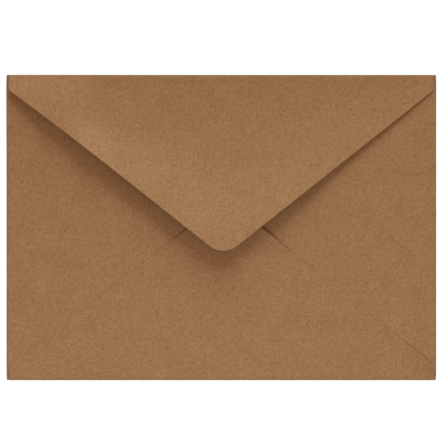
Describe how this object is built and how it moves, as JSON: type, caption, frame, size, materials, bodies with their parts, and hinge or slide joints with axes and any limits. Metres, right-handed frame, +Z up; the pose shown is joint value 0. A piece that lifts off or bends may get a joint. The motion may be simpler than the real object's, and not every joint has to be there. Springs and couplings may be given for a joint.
{
  "type": "paper envelope",
  "caption": "Kraft paper envelope with a deep pointed seal flap left open, diagonal pasted seams and an empty pocket.",
  "frame": {"origin": "middle of the address face that the envelope lies on", "axes": "+X along the mouth, to the right as seen from above; +Y from the bottom fold to the mouth; +Z up, out of the flap side"},
  "size_m": [0.176, 0.125, 0.0078],
  "materials": {
    "kraft_paper": "matt, uncoated, with fine fibres"
  },
  "bodies": {
    "root": {"envelope": "kraft_paper"}
  },
  "joints": []
}
